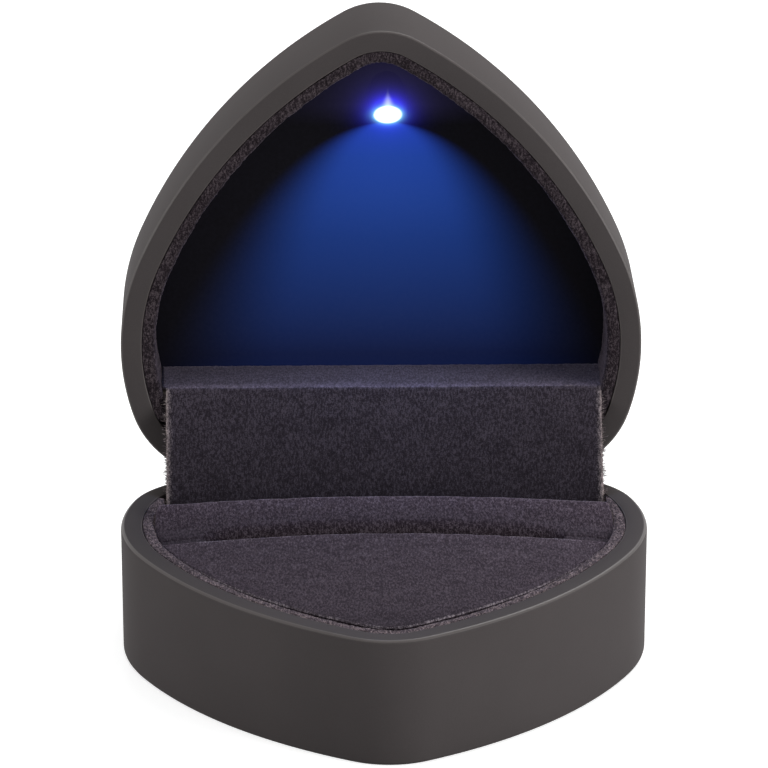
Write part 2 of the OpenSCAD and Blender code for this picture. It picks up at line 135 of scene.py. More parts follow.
def outline_point(t, inset):
    """Point of the right side where the outline has heading t, moved inward."""
    i = next(i for i in range(len(ARC_R)) if t <= HEADING[i + 1] + ARC_SLACK)
    return ARC_CENTRE[i] + (ARC_R[i] - inset) * outward(t)


def side_headings(step, end=180.0):
    """Headings from the tip to end, about one step of length apart on the outline."""
    found = [0.0]
    for i in range(len(ARC_R)):
        last = min(HEADING[i + 1], end)
        if last <= HEADING[i]:
            break
        count = max(2, math.ceil(ARC_R[i] * math.radians(last - HEADING[i]) / step))
        found += [HEADING[i] + (last - HEADING[i]) * k / count for k in range(1, count + 1)]
    return found


def outline(inset, step):
    """Closed loop round the plan, from the tip over the right lobe, along the back and home."""
    right = [outline_point(t, inset) for t in side_headings(step)]
    corner = right[-1]
    count = max(2, math.ceil(2 * corner[0] / step))
    back = [np.array((corner[0] * (1 - 2 * k / count), corner[1])) for k in range(1, count)]
    left = [np.array((-p[0], p[1])) for p in reversed(right[1:])]
    return right + back + left


def half_width(back, inset):
    """Half the inset outline's width at a distance from the hinge line."""
    for i in range(len(ARC_R)):
        s = (-back - ARC_CENTRE[i][1]) / (ARC_R[i] - inset)
        if abs(s) <= 1:
            t = math.degrees(math.asin(s)) + 90
            if HEADING[i] - ARC_SLACK <= t <= HEADING[i + 1] + ARC_SLACK:
                return ARC_CENTRE[i][0] + (ARC_R[i] - inset) * math.cos(math.asin(s))
    return 0.0


def round_off(centre, r, start, end, steps=6):
    """Quarter round of a profile about a corner's centre."""
    angles = [math.radians(start + (end - start) * k / steps) for k in range(steps + 1)]
    return [(centre[0] + r * math.cos(a), centre[1] + r * math.sin(a)) for a in angles]


# Mesh makers

def make_mesh(name, points, faces, place):
    """Object from points, each put in its place in the row frame."""
    mesh = bpy.data.meshes.new(name)
    mesh.from_pydata([place(p) for p in points], [], faces)
    mesh.validate()
    obj = bpy.data.objects.new(name, mesh)
    bpy.context.scene.collection.objects.link(obj)
    face_outward(obj)
    return obj


def face_outward(obj):
    """Turns all faces so that the solid's volume is positive."""
    bm = bmesh.new()
    bm.from_mesh(obj.data)
    bmesh.ops.recalc_face_normals(bm, faces=bm.faces)
    if bm.calc_volume(signed=True) < 0:
        bmesh.ops.reverse_faces(bm, faces=bm.faces)
    bm.to_mesh(obj.data)
    bm.free()


def smooth(obj, sharp_above=None):
    """Shades smoothly, with edges above an angle in degrees kept sharp if one is given."""
    obj.data.shade_smooth()
    if sharp_above is not None:
        obj.data.set_sharp_from_angle(angle=math.radians(sharp_above))


def skin_loops(loops, size, closed_loop=True):
    """Faces between each loop of points and the next."""
    faces = []
    for j in range(loops - 1):
        for k in range(size if closed_loop else size - 1):
            m = (k + 1) % size
            a, b = j * size, (j + 1) * size
            faces.append((a + k, a + m, b + m, b + k))
    return faces


def capped_skin(loops, size):
    """Faces between closed loops of points, and one over each end."""
    faces = skin_loops(loops, size)
    faces.append(tuple(range(size - 1, -1, -1)))
    faces.append(tuple(range((loops - 1) * size, loops * size)))
    return faces


def grid_edge(rows, columns):
    """Numbers of the points round the edge of a grid."""
    edge = list(range(columns))
    edge += [j * columns + columns - 1 for j in range(1, rows)]
    edge += [(rows - 1) * columns + i for i in range(columns - 2, -1, -1)]
    edge += [j * columns for j in range(rows - 2, 0, -1)]
    return edge


def loft(name, profile, step, place):
    """Solid whose skin follows the profile's [inset, z] loops round the outline, capped at both ends."""
    points = []
    for inset, z in profile:
        points += [(q[0], q[1], z) for q in outline(inset, step)]
    faces = capped_skin(len(profile), len(points) // len(profile))
    return make_mesh(name, points, faces, place)


def cut(obj, cutters):
    """Takes the cutters out of obj and deletes them."""
    for cutter in cutters:
        modifier = obj.modifiers.new("cut", "BOOLEAN")
        modifier.operation = "DIFFERENCE"
        modifier.solver = "EXACT"
        modifier.object = cutter
        depsgraph = bpy.context.evaluated_depsgraph_get()
        result = bpy.data.meshes.new_from_object(obj.evaluated_get(depsgraph))
        obj.modifiers.clear()
        obj.data = result
        bpy.data.objects.remove(cutter)


# Materials

def srgb(r, g, b):
    """Linear colour of an sRGB colour written 0 to 255."""
    def linear(c):
        c /= 255
        return c / 12.92 if c <= 0.04045 else ((c + 0.055) / 1.055) ** 2.4
    return (linear(r), linear(g), linear(b), 1.0)


class Graph:
    """Short way to write a material's nodes."""

    def __init__(self, name):
        self.material = bpy.data.materials.new(name)
        self.material.use_nodes = True
        self.tree = self.material.node_tree
        self.shader = self.tree.nodes["Principled BSDF"]
        self.place = self.node("ShaderNodeTexCoord").outputs["Object"]

    def node(self, kind, **settings):
        made = self.tree.nodes.new(kind)
        for key, value in settings.items():
            setattr(made, key, value)
        return made

    def link(self, output, target):
        self.tree.links.new(output, target)

    def scaled(self, scale):
        """Object place in metres times a scale for each axis."""
        mapping = self.node("ShaderNodeMapping")
        mapping.inputs["Scale"].default_value = scale
        self.link(self.place, mapping.inputs["Vector"])
        return mapping.outputs["Vector"]

    def noise(self, size_mm, detail, roughness=0.5, vector=None, distortion=0.0):
        made = self.node("ShaderNodeTexNoise")
        made.inputs["Scale"].default_value = 1 / (size_mm * MM)
        made.inputs["Detail"].default_value = detail
        made.inputs["Roughness"].default_value = roughness
        made.inputs["Distortion"].default_value = distortion
        self.link(vector or self.place, made.inputs["Vector"])
        return made.outputs["Fac"]

    def ramp(self, value, stops):
        made = self.node("ShaderNodeValToRGB")
        while len(made.color_ramp.elements) < len(stops):
            made.color_ramp.elements.new(0.5)
        for element, (position, colour) in zip(made.color_ramp.elements, stops):
            element.position = position
            element.color = colour
        self.link(value, made.inputs["Fac"])
        return made.outputs["Color"]

    def math(self, operation, a, b=None, c=None, clamp=False):
        made = self.node("ShaderNodeMath", operation=operation, use_clamp=clamp)
        for socket, value in zip(made.inputs, (a, b, c)):
            if value is None:
                continue
            if isinstance(value, (int, float)):
                socket.default_value = value
            else:
                self.link(value, socket)
        return made.outputs[0]

    def mix(self, fac, a, b, blend="MIX"):
        made = self.node("ShaderNodeMix", data_type="RGBA", blend_type=blend)
        for key, value in (("Factor", fac), ("A", a), ("B", b)):
            kind = "VALUE" if key == "Factor" else "RGBA"
            socket = next(s for s in made.inputs if s.name == key and s.type == kind)
            if isinstance(value, (int, float, tuple)):
                socket.default_value = value
            else:
                self.link(value, socket)
        return next(s for s in made.outputs if s.type == "RGBA")

    def grey(self, value):
        made = self.node("ShaderNodeCombineColor")
        for socket in made.inputs:
            self.link(value, socket)
        return made.outputs[0]

    def bump(self, height, strength, distance_mm):
        made = self.node("ShaderNodeBump")
        made.inputs["Strength"].default_value = strength
        made.inputs["Distance"].default_value = distance_mm * MM
        self.link(height, made.inputs["Height"])
        return made.outputs["Normal"]

    def offsets(self):
        """The object place's X, Y and Z in metres, by name."""
        split = self.node("ShaderNodeSeparateXYZ")
        self.link(self.place, split.inputs[0])
        return split.outputs

    def squared(self, value):
        return self.math("MULTIPLY", value, value)

    def reach(self, across, down):
        """Distance that two offsets make together."""
        return self.math("SQRT", self.math("ADD", self.squared(across), self.squared(down)))

    def beyond(self, value, start):
        """How far a value is past its start, and 0 before it."""
        return self.math("MAXIMUM", self.math("SUBTRACT", value, start), 0.0)

    def soft_step(self, value, nothing_at, full_at):
        """From 0 to 1 by a smooth curve between two values."""
        made = self.node("ShaderNodeMapRange", interpolation_type="SMOOTHSTEP")
        made.inputs["From Min"].default_value = nothing_at
        made.inputs["From Max"].default_value = full_at
        self.link(value, made.inputs["Value"])
        return made.outputs["Result"]

    def fading(self, distance, length, colour):
        """Light that dies out exponentially with distance."""
        return self.mix(self.math("EXPONENT", self.math("DIVIDE", distance, -length)), BLACK, colour)

    def set(self, **values):
        for key, value in values.items():
            socket = self.shader.inputs[key.replace("_", " ")]
            if isinstance(value, (int, float, tuple)):
                socket.default_value = value
            else:
                self.link(value, socket)


BLACK = (0.0, 0.0, 0.0, 1.0)
WHITE = (1.0, 1.0, 1.0, 1.0)


def shade(colour, factor):
    return tuple(c * factor for c in colour[:3]) + (1.0,)


# Soft-touch coating, with the sizes of its cloudiness and grain
CLOUD_SIZE = 14
COATING_GRAIN = 0.16


def soft_touch(name, colour, gloss, roughness):
    """Matt soft-touch coating with a very fine grain and faint cloudiness."""
    g = Graph(name)
    base = srgb(*colour)
    cloud = g.noise(CLOUD_SIZE, 3)
    grain = g.noise(COATING_GRAIN, 2, 0.6)
    tone = g.math("ADD", g.math("MULTIPLY", cloud, 0.5), g.math("MULTIPLY", grain, 0.5))
    g.set(
        Base_Color=g.ramp(tone, [(0.3, shade(base, 0.9)), (0.7, shade(base, 1.1))]),
        Roughness=g.math("MULTIPLY_ADD", cloud, 0.1, roughness - 0.05),
        Normal=g.bump(grain, 0.12, 0.02),
        Specular_IOR_Level=gloss,
    )
    return g.material


# Velvet, with the sizes of its flecks, single fibres and brushed streaks, and how far a cut side is pale
FLECK_SIZE = 0.26
FIBRE_SIZE = 0.14
STREAK_SIZE = 3.2
COMBED = (1.0, 0.35, 0.5)
FRAY_WIDTH = 1.1 * MM
FRAY_COLOUR = (158, 146, 146)
SHEEN_COLOUR = (190, 178, 196)
# A ramp's colours end at 1, so the brightness of painted shade and highlight is divided by this in the ramp
# and multiplied by it again after
PAINTED_LIGHT_TOP = 4.0


def velvet(name, colour, pale, depth, painted_light=None, fray=None, relief=0.5):
    """Short pile: dark depths, paler fibre tips in fine flecks, brushed streaks and a soft sheen.

    With painted_light, pairs of a place along Y and a brightness there, shade and highlights are painted into
    the colour along Y.
    With fray, a middle and a half width, both cut sides turn pale and uneven.
    """
    g = Graph(name)
    dark, light = srgb(*colour), srgb(*pale)
    fleck = g.noise(FLECK_SIZE, 3, 0.65, g.scaled(COMBED))
    fibre = g.noise(FIBRE_SIZE, 1)
    brushed = g.noise(STREAK_SIZE, 3, 0.6, distortion=0.4)
    pile = g.math("ADD", g.math("MULTIPLY", fleck, 0.6), g.math("MULTIPLY", fibre, 0.4))
    tone = g.math("ADD", pile, g.math("MULTIPLY_ADD", brushed, 0.12, -0.06))
    colour = g.ramp(tone, [(0.4, shade(dark, depth)), (0.5, dark), (0.6, light)])
    # Painted shade and highlights: the colour is made darker or paler along Y
    if painted_light:
        start, length = painted_light[0][0], painted_light[-1][0] - painted_light[0][0]
        along = g.math("DIVIDE", g.math("SUBTRACT", g.offsets()["Y"], start), length, clamp=True)
        stops = [((place - start) / length, shade(WHITE, level / PAINTED_LIGHT_TOP)) for place, level in painted_light]
        level = g.math("MULTIPLY", g.ramp(along, stops), PAINTED_LIGHT_TOP)
        colour = g.mix(1.0, colour, g.grey(level), "MULTIPLY")
    if fray:
        middle, half = fray
        aside = g.math("ABSOLUTE", g.math("SUBTRACT", g.offsets()["X"], middle))
        share = g.math("DIVIDE", g.math("SUBTRACT", aside, half - FRAY_WIDTH), FRAY_WIDTH)
        share = g.math("ADD", share, g.math("MULTIPLY_ADD", pile, 2.4, -1.4), clamp=True)
        colour = g.mix(g.math("MULTIPLY", share, share), colour, srgb(*FRAY_COLOUR))
    g.set(
        Base_Color=colour,
        Normal=g.bump(pile, relief, 0.1),
        Roughness=1.0,
        Sheen_Weight=0.2,
        Sheen_Roughness=0.4,
        Sheen_Tint=srgb(*SHEEN_COLOUR),
        Specular_IOR_Level=0.05,
    )
    return g.material


# Plain surfaces

def plain(name, colour, roughness, grain_mm, contrast, bump, bump_mm, metallic=0.0, stretch=(1, 1, 1)):
    """Moulded, pressed or drawn surface: grain in its colour, roughness and relief."""
    g = Graph(name)
    base = srgb(*colour)
    grain = g.noise(grain_mm, 3, 0.6, g.scaled(stretch))
    g.set(
        Base_Color=g.ramp(grain, [(0.3, shade(base, 1 - contrast)), (0.7, shade(base, 1 + contrast))]),
        Roughness=g.math("MULTIPLY_ADD", grain, 0.16, roughness - 0.08),
        Normal=g.bump(grain, bump, bump_mm),
        Metallic=metallic,
    )
    return g.material


# The lamp's light on the panel, painted by place at rest, with the lamp's middle in the lid's rim coordinates
LAMP = (1.1, -49.4, 9.2)
LAMP_SEEN = to_lid(LAMP)
LAMP_SLANT = 0.355

# Glare: a white lens, a blue glow and a thin greenish ring round it, a narrow flare above it, and haze
LENS_SQUASH = 1.62
LENS_EDGE = (2.1, 1.7)
GLOW_SQUASH = 1.2
GLOW_DROP = 0.66
GLOW_START = 2.1
GLOW_FADE = 0.93
GLOW_COLOUR = (0.026, 0.022, 0.87, 1.0)
RING_START = 2.0
RING_FADE = 0.35
RING_COLOUR = (0.16, 0.5, 0.1, 1.0)
HAZE_SQUASH = 1.4
HAZE_FADE = 6.0
HAZE_COLOUR = (0.026, 0.022, 0.075, 1.0)
HAZE_LEVEL = 0.5
HAZE_LOSS = 0.35
FLARE_RISE = 1.4
FLARE_HEIGHT = 1.1
FLARE_WIDTH = 0.95
FLARE_LEAST_WIDTH = 0.15
FLARE_SPREAD = 0.25
FLARE_COLOUR = (0.5, 0.55, 0.4, 1.0)

# Cone: its half width squared grows by CONE_GROWTH for each millimetre down, less CONE_DROP
CONE_LEAN = 0.02
CONE_GROWTH = 13.8
CONE_DROP = 13.5
CONE_LEAST = 0.04
CONE_EDGE = (1.5, 0.6)
CONE_DOME = 0.15
CONE_TOP = 0.9
CONE_TOP_RISE = 2.0
CONE_LENGTH = 36.0
CONE_COLOURS = [
    (0.0, (0.013, 0.052, 0.43, 1)),
    (0.09, (0.013, 0.052, 0.40, 1)),
    (0.17, (0.011, 0.05, 0.325, 1)),
    (0.34, (0.009, 0.043, 0.255, 1)),
    (0.5, (0.006, 0.032, 0.185, 1)),
    (0.66, (0.005, 0.024, 0.135, 1)),
    (0.82, (0.004, 0.016, 0.088, 1)),
    (0.97, (0.002, 0.007, 0.042, 1)),
]


def lamp_glare(g, across, down):
    """White lens with a narrow flare above it, in blue glare that dies out exponentially, and haze above."""
    away = g.reach(across, g.math("MULTIPLY", down, LENS_SQUASH))
    high = g.math("MULTIPLY_ADD", down, GLOW_SQUASH, GLOW_DROP)
    hazy = g.reach(g.math("MULTIPLY", across, HAZE_SQUASH), high)
    rise = g.math("DIVIDE", g.math("ADD", down, FLARE_RISE), FLARE_HEIGHT)
    slender = g.math("MAXIMUM", g.math("MULTIPLY_ADD", down, FLARE_SPREAD, FLARE_WIDTH), FLARE_LEAST_WIDTH)
    flare = g.math("ADD", g.squared(rise), g.squared(g.math("DIVIDE", across, slender)))
    haze = g.fading(g.beyond(hazy, GLOW_START), HAZE_FADE, HAZE_COLOUR)
    light = g.mix(g.soft_step(away, *LENS_EDGE), BLACK, WHITE)
    for part in (
        g.fading(g.beyond(g.reach(across, high), GLOW_START), GLOW_FADE, GLOW_COLOUR),
        g.fading(g.beyond(away, RING_START), RING_FADE, RING_COLOUR),
        g.fading(flare, 1.0, FLARE_COLOUR),
        g.mix(g.math("MULTIPLY_ADD", down, -HAZE_LOSS, HAZE_LEVEL, clamp=True), BLACK, haze),
    ):
        light = g.mix(1.0, light, part, "ADD")
    return light


def lamp_offsets(g):
    """Distances across and down from the lamp, in millimetres, where down leans forward with the beam."""
    place = g.offsets()
    across = g.math("MULTIPLY", g.math("SUBTRACT", place["X"], LAMP_SEEN.x), 1 / MM)
    fall = g.math("SUBTRACT", LAMP_SEEN.z, place["Z"])
    lean = g.math("MULTIPLY", g.math("SUBTRACT", LAMP_SEEN.y, place["Y"]), LAMP_SLANT)
    down = g.math("MULTIPLY", g.math("ADD", fall, lean), 1 / MM)
    return across, down


def lamp_cone(g, across, down):
    """Blue cone of light below the lamp. Its half width grows with the root of the way down."""
    aside = g.math("ADD", across, g.math("MULTIPLY", down, CONE_LEAN))
    grown = g.math("MAXIMUM", g.math("MULTIPLY_ADD", down, CONE_GROWTH, -CONE_DROP), CONE_LEAST)
    share = g.math("DIVIDE", g.math("ABSOLUTE", aside), g.math("SQRT", grown))
    dome = g.math("MAXIMUM", g.math("MULTIPLY_ADD", g.squared(share), -CONE_DOME, 1.0), 0.0)
    below = g.math("MULTIPLY", g.math("SUBTRACT", down, CONE_TOP), CONE_TOP_RISE, clamp=True)
    level = g.math("MULTIPLY", g.math("MULTIPLY", g.soft_step(share, *CONE_EDGE), dome), below)
    fade = g.ramp(g.math("DIVIDE", down, CONE_LENGTH, clamp=True), CONE_COLOURS)
    return g.mix(level, BLACK, fade)


def panel_glow(name, dark, pale, grain_mm):
    """Near-black plastic with the lamp's blue cone and glare in its emission."""
    g = Graph(name)
    across, down = lamp_offsets(g)
    grain = g.noise(grain_mm, 2)
    g.set(
        Base_Color=g.ramp(grain, [(0.3, srgb(*dark)), (0.7, srgb(*pale))]),
        Roughness=0.6,
        Emission_Color=g.mix(1.0, lamp_cone(g, across, down), lamp_glare(g, across, down), "ADD"),
        Emission_Strength=1.0,
        Normal=g.bump(grain, 0.05, 0.01),
        Specular_IOR_Level=0.05,
    )
    return g.material


def lamp_lens(name):
    """Clear lens that shines white in its middle."""
    g = Graph(name)
    across, down = lamp_offsets(g)
    grain = g.noise(0.4, 2)
    g.set(
        Base_Color=g.ramp(grain, [(0.3, srgb(24, 34, 120)), (0.7, srgb(30, 44, 140))]),
        Roughness=0.15,
        Emission_Color=lamp_glare(g, across, down),
        Emission_Strength=1.1,
        Specular_IOR_Level=0.1,
    )
    return g.material


# Painted shade and highlight on the cushion from the tip back: distance from the hinge line, and level. It is
# darker towards the tip and in the slot, with painted highlights on the slot's lip and along the back
CUSHION_PAINTED_LEVELS = [
    (58.0, 0.52),
    (50.0, 0.75),
    (30.0, 1.0),
    (26.7, 1.2),
    (26.3, 2.1),
    (25.9, 0.55),
    (24.0, 0.6),
    (22.5, 0.72),
    (20.5, 0.9),
    (17.0, 1.2),
    (14.6, 1.5),
    (13.8, 2.3),
]
CUSHION_PAINTED_LIGHT = [(to_base((0, -back, 0)).y, level) for back, level in CUSHION_PAINTED_LEVELS]

# Painted shade and highlight on the strip from the flap's foot over the fold to the back of the ledge: darker
# at the foot, with a painted highlight along the fold
FOLD = to_flap((0, 0, 0))
LEDGE_HIGH = 11.0
STRIP_PAINTED_LIGHT = [
    (to_flap((0, 0, -FLAP_LENGTH)).y, 0.56),
    (FOLD.y - 0.5 * MM, 1.0),
    (FOLD.y - 0.25 * MM, 1.3),
    (FOLD.y + 0.1 * MM, 2.9),
    (FOLD.y + 1.6 * MM, 2.0),
    (FOLD.y + 2.4 * MM, 1.5),
    (to_lid((0, -LEDGE_FRONT, LEDGE_HIGH)).y, 1.4),
]
FLAP_SIDES = (FLAP_SHIFT * MM, FLAP_HALF * MM)

SOFT_TOUCH = soft_touch("soft_touch_plastic", (69, 65, 65), 0.02, 0.6)
# The rims' rounded edges: a glossier coating that catches the lights, in a slightly paler colour that is a
# painted highlight
GLOSSY_EDGE_HIGHLIGHT = soft_touch("soft_touch_edge_painted_highlight", (72, 67, 66), 0.24, 0.4)
CUSHION_VELVET = velvet("velvet_cushion", (47, 39, 45), (82, 73, 80), 0.45, CUSHION_PAINTED_LIGHT, relief=0.25)
# A paler copy of the cushion's velvet: a painted sheen on the cushion's edges
CUSHION_PAINTED_SHEEN = velvet("velvet_cushion_painted_sheen", (84, 77, 84), (140, 132, 138), 0.5)
LEDGE_VELVET = velvet("velvet_ledge", (47, 42, 48), (70, 64, 72), 0.5, STRIP_PAINTED_LIGHT)
FLAP_VELVET = velvet("velvet_flap", (47, 42, 48), (70, 64, 72), 0.5, STRIP_PAINTED_LIGHT, FLAP_SIDES)
CUT_EDGE = velvet("velvet_cut_edge", (96, 86, 88), (176, 164, 162), 0.45)
BEAD_VELVET = velvet("velvet_bead", (62, 54, 57), (126, 113, 114), 0.45)
# The lid's bead: the base bead's velvet made darker, a painted shade
LID_BEAD_PAINTED_SHADE = velvet("velvet_lid_bead_painted_shade", (39, 33, 37), (76, 68, 72), 0.45)
STEEL = plain("pressed_steel", (172, 172, 174), 0.36, 0.25, 0.12, 0.1, 0.01, 1.0, (0.2, 1, 1))
SPRING_STEEL = plain("spring_steel", (150, 154, 162), 0.3, 0.2, 0.12, 0.1, 0.01, 1.0, (1, 1, 0.2))
SCREW_STEEL = plain("screw_steel", (186, 186, 188), 0.28, 0.3, 0.1, 0.1, 0.01, 1.0)
CELL_STEEL = plain("cell_steel", (204, 204, 206), 0.2, 0.5, 0.06, 0.05, 0.005, 1.0)
BRASS = plain("contact_brass", (206, 170, 96), 0.3, 0.3, 0.1, 0.1, 0.01, 1.0)
BLACK_PLASTIC = plain("black_plastic", (30, 30, 32), 0.5, 0.3, 0.15, 0.15, 0.02)
WHITE_PLASTIC = plain("white_plastic", (222, 222, 218), 0.35, 0.5, 0.03, 0.05, 0.01)
BOARD_GREEN = plain("board_green", (28, 96, 48), 0.4, 0.6, 0.2, 0.1, 0.02)
WIRE_RED = plain("wire_red", (168, 34, 28), 0.4, 0.3, 0.08, 0.05, 0.01)
CARD = plain("grey_card", (118, 108, 102), 0.9, 0.35, 0.16, 0.3, 0.03)
FOAM = plain("foam", (150, 142, 136), 0.95, 0.5, 0.25, 0.5, 0.15)
PANEL = panel_glow("lid_panel_glow", (13, 12, 17), (18, 17, 23), 0.5)
LENS = lamp_lens("lamp_lens")
COLLAR = panel_glow("lamp_collar_glow", (11, 10, 15), (16, 15, 20), 0.3)

NODE_MATERIALS = {
    "cushion_foam": FOAM,
    "cushion_board": CARD,
    "ledge_card": CARD,
    "hinge_base_leaf": STEEL,
    "hinge_lid_leaf": STEEL,
    "hinge_pin": STEEL,
    "hinge_spring": SPRING_STEEL,
    "base_hinge_screws": SCREW_STEEL,
    "lid_hinge_screws": SCREW_STEEL,
    "lid_panel": PANEL,
    "lamp": LENS,
    "lamp_holder": COLLAR,
    "lamp_board": BOARD_GREEN,
    "battery_holder": BLACK_PLASTIC,
    "button_cells": CELL_STEEL,
    "battery_contacts": BRASS,
    "switch_body": BLACK_PLASTIC,
    "switch_plunger": WHITE_PLASTIC,
    "wires": WIRE_RED,
}
NODE_SHARP = 35


def dress(obj, material):
    """Gives obj this one material."""
    obj.data.materials.clear()
    obj.data.materials.append(material)


for node_name, node_material in NODE_MATERIALS.items():
    dress(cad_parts[node_name], node_material)
    smooth(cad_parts[node_name], NODE_SHARP)


# Shells

SHELL_STEP = 0.9
SHELL_SHARP = 45
# Pocket for the hinge's knuckles in each shell's back, and how far its cutter stands clear of the shell
POCKET_R = 1.4
POCKET_HALF = 12.2
POCKET_DEEP = 1.35
POCKET_INWARD = 0.2
POCKET_CLEAR = 1.0
ROD_SIDES = 48
BOX_FACES = [(0, 1, 3, 2), (4, 6, 7, 5), (0, 4, 5, 1), (2, 3, 7, 6), (0, 2, 6, 4), (1, 5, 7, 3)]
# On a rim's rounded edges, the part of a normal that faces out of the rim's plane is in this range
BASE_EDGE_FACING = (0.4, 0.97)
LID_EDGE_FACING = (0.3, 0.97)
RIM_SKIN = 0.01


def shell_profile(height, outside_edge, cover, rim_round):
    """Profile of an open shell from its outside over the rim to its inside, with z negative below the rim."""
    inner = RIM_INNER_ROUND
    return (
        outside_edge
        + round_off((rim_round, -rim_round), rim_round, 180, 90)
        + round_off((RIM_WIDTH - inner, -inner), inner, 90, 0, 3)
        + [(RIM_WIDTH, -LIP_DEPTH), (WALL, -LIP_DEPTH), (WALL, cover - height)]
    )


def pocket_cutters(place, side):
    """A rod and a block that cut the pocket, on the lower side of the rim for -1 and the upper for 1."""
    ends = (-POCKET_HALF, POCKET_HALF)
    turns = [2 * math.pi * k / ROD_SIDES for k in range(ROD_SIDES)]
    points = [(x, POCKET_R * math.cos(a), POCKET_R * math.sin(a)) for x in ends for a in turns]
    rod = make_mesh("cut_rod", points, capped_skin(2, ROD_SIDES), place)
    across = (-RIM_WIDTH - POCKET_INWARD, POCKET_CLEAR)
    upright = (-POCKET_DEEP, POCKET_CLEAR) if side < 0 else (-POCKET_CLEAR, POCKET_DEEP)
    corners = [(x, y, z) for x in ends for y in across for z in upright]
    return [rod, make_mesh("cut_block", corners, BOX_FACES, place)]


def make_base_shell():
    """Tub, drawn from its underside up."""
    outside = round_off((DRAFT + BOTTOM_ROUND, BOTTOM_ROUND - BASE_HEIGHT), BOTTOM_ROUND, 270, 180)
    profile = shell_profile(BASE_HEIGHT, outside, FLOOR, BASE_RIM_ROUND)
    shell = loft("base_shell_soft_touch", profile, SHELL_STEP, to_base)
    cut(shell, pocket_cutters(to_base, -1))
    return shell


def make_lid_shell():
    """Cover with a large round at its roof, drawn as the base and turned over."""
    outside = round_off((DRAFT + ROOF_ROUND, ROOF_ROUND - LID_HEIGHT), ROOF_ROUND, 270, 180, 12)
    profile = [(inset, -z) for inset, z in shell_profile(LID_HEIGHT, outside, ROOF, LID_RIM_ROUND)]
    shell = loft("lid_shell_soft_touch", profile, SHELL_STEP, to_lid)
    cut(shell, pocket_cutters(to_lid, 1))
    return shell


def paint(obj, slot, chosen):
    """Gives another material to the faces chosen by middle, in row millimetres, and normal."""
    for polygon in obj.data.polygons:
        if chosen(polygon.center / MM, polygon.normal):
            polygon.material_index = slot


def on_base_edge(p, normal):
    """Rounded edges of the base's rim."""
    low, high = BASE_EDGE_FACING
    return BASE_HEIGHT - BASE_RIM_ROUND < p.z < BASE_HEIGHT - RIM_SKIN and low < normal.z < high


def on_lid_edge(p, normal):
    """Rounded edges of the lid's rim, in the open lid."""
    low, high = LID_EDGE_FACING
    out_of_rim = (p - HINGE).yz.dot(Vector(lid_turn(0, 1)))
    facing = normal.yz.dot(Vector(lid_turn(0, -1)))
    return RIM_SKIN < out_of_rim < LID_RIM_ROUND and low < facing < high


SHELLS = [
    (make_base_shell, "base", "base_shell", on_base_edge),
    (make_lid_shell, "lid", "lid_shell", on_lid_edge),
]
for make, body, stands_for, on_edge in SHELLS:
    shell = make()
    smooth(shell, SHELL_SHARP)
    dress(shell, SOFT_TOUCH)
    shell.data.materials.append(GLOSSY_EDGE_HIGHLIGHT)
    # The rims' rounded edges get the glossier coating with its painted highlight
    paint(shell, 1, on_edge)
    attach(shell, body)
    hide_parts(stands_for)


# Velvet: the pile's unevenness, on meshes about one pile step fine

PILE_STEP = 0.35
WAVE_SIZE = 2.6


def ruffle(obj, fine, coarse, seed):
    """Moves each point along its normal: fine random pile and a slow waviness."""
    rng = np.random.default_rng(seed)
    mesh = obj.data
    count = len(mesh.vertices)
    normals = np.zeros(count * 3)
    mesh.vertex_normals.foreach_get("vector", normals)
    normals = normals.reshape(-1, 3)
    places = np.zeros(count * 3)
    mesh.vertices.foreach_get("co", places)
    places = places.reshape(-1, 3)
    slow = np.array([noise.noise(Vector(p) / (WAVE_SIZE * MM)) for p in places])
    move = (rng.uniform(-1, 1, count) * fine + slow * coarse - fine) * MM
    places += normals * move[:, None]
    mesh.vertices.foreach_set("co", places.ravel())
    mesh.update()


# Linings: a strip inside each shell with a bead along its top, which lies in the rim's plane

LINER_IN = 4.85
LINER_BACK = 2.3
LINER_HOOK = 0.2
LINER_SHOULDER = LIP_DEPTH + LINER_HOOK
SECTION_STEP = 0.5
BEAD_OUT = 2.9
BEAD_ROUND = 0.8
BEAD_OUT_ROUND = 0.2
BASE_LINER_DEPTH = 10.0
LID_LINER_DEPTH = 11.05
# The bead is slimmer by this at the tip, has its full size from the first heading and ends at the second
BEAD_SLIM = 0.2
BEAD_FULL_FROM = 80.0
BEAD_END = 123.0
# Over this length at each end the strip narrows to this share, and the bead sinks about its middle too
BEAD_END_LENGTH = 1.1
BEAD_END_SHARE = 0.35
BEAD_MIDDLE = 1.2
BEAD_REACH = 3
BEAD_PILE = (0.07, 0.09)
# The shut lid's flap passes the base's lining behind this distance from the hinge line, with this room
FLAP_PASS_BACK = 12.9
FLAP_PASS_ROOM = 0.3


def liner_section(deep):
    """Section of a lining strip and its bead, as [inset, depth into the shell], evenly stepped."""
    corners = (
        [(BEAD_OUT, LINER_SHOULDER), (LINER_BACK, LINER_SHOULDER), (LINER_BACK, deep), (LINER_IN, deep)]
        + round_off((LINER_IN - BEAD_ROUND, BEAD_ROUND), BEAD_ROUND, 0, -90, 5)
        + round_off((BEAD_OUT + BEAD_OUT_ROUND, BEAD_OUT_ROUND), BEAD_OUT_ROUND, 270, 180, 3)
    )
    section = []
    for a, b in zip(corners, corners[1:] + corners[:1]):
        count = max(1, round(math.dist(a, b) / SECTION_STEP))
        inward, down = b[0] - a[0], b[1] - a[1]
        section += [(a[0] + inward * k / count, a[1] + down * k / count) for k in range(count)]
    return section


